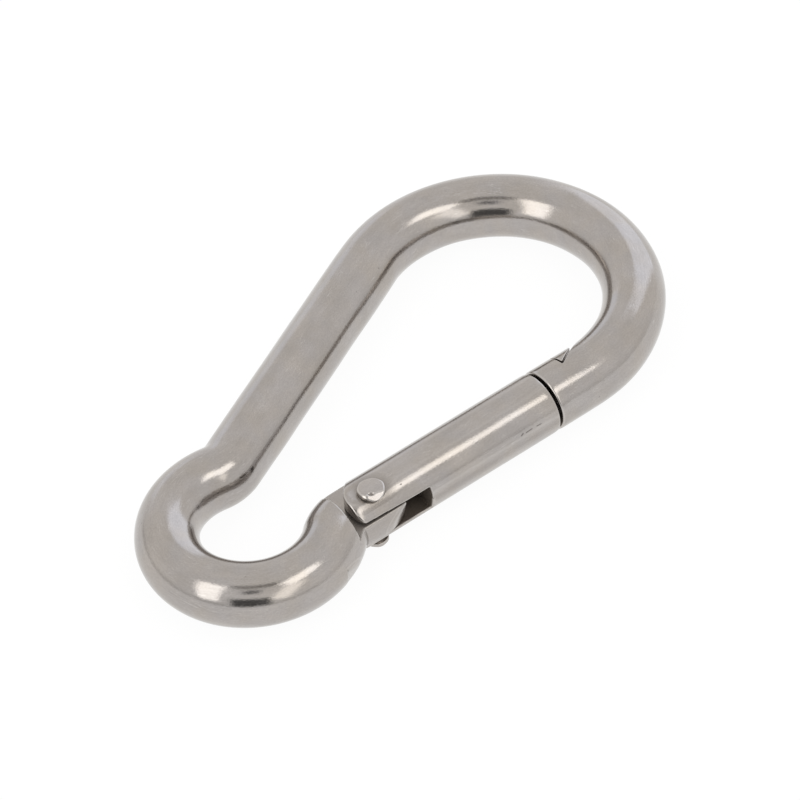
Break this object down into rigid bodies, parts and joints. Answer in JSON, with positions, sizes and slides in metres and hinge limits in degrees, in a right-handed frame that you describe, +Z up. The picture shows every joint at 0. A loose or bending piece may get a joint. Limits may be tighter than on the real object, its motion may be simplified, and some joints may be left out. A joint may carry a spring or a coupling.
{
  "type": "snap hook",
  "caption": "Pear-shaped spring snap hook of round stainless bar, with a small eye, a large loop and a riveted, spring-closed round gate with a notched latch.",
  "frame": {"origin": "on the load line, the line through the centres of the eye and the loop, midway between the hook's two ends, at the height of the lower rivet head's flat face, the lowest point", "axes": "+X along the load line from the small eye to the large loop, +Y from the gate side to the back, +Z up out of the hook's middle plane; the hook lies flat"},
  "size_m": [0.1007, 0.0522, 0.0108],
  "materials": {
    "body_steel": "satin-polished stainless steel, warm grey, fine pits and scratches",
    "gate_steel": "satin-polished stainless steel, faint brushing along the gate",
    "rivet_steel": "hammered stainless rivet end, satin, with a few bright dents",
    "plunger_steel": "machined stainless steel, dull and slightly brown from grease",
    "spring_wire": "drawn stainless spring wire"
  },
  "bodies": {
    "hook_body": {"body": "body_steel"},
    "gate_assembly": {"gate": "gate_steel", "hinge_rivet": "rivet_steel", "return_spring": "spring_wire"},
    "plunger_body": {"plunger": "plunger_steel"}
  },
  "joints": [
    {"name": "gate_hinge", "type": "hinge", "parent": "hook_body", "child": "gate_assembly", "pos_m": [-0.02011, -0.01231, 0.0054], "axis": [0, 0, 1], "range_deg": [0, 32], "stiffness_Nm_per_rad": 0.009, "springref_deg": -77.92},
    {"name": "plunger_slide", "type": "slide", "parent": "gate_assembly", "child": "plunger_body", "axis": [0.9716, -0.2368, 0], "range_m": [0, 0.0014], "deforming": ["return_spring"]}
  ],
  "couplings": [
    {"joint": "plunger_slide", "follows": "gate_hinge", "m_per_rad": 0.00245}
  ]
}
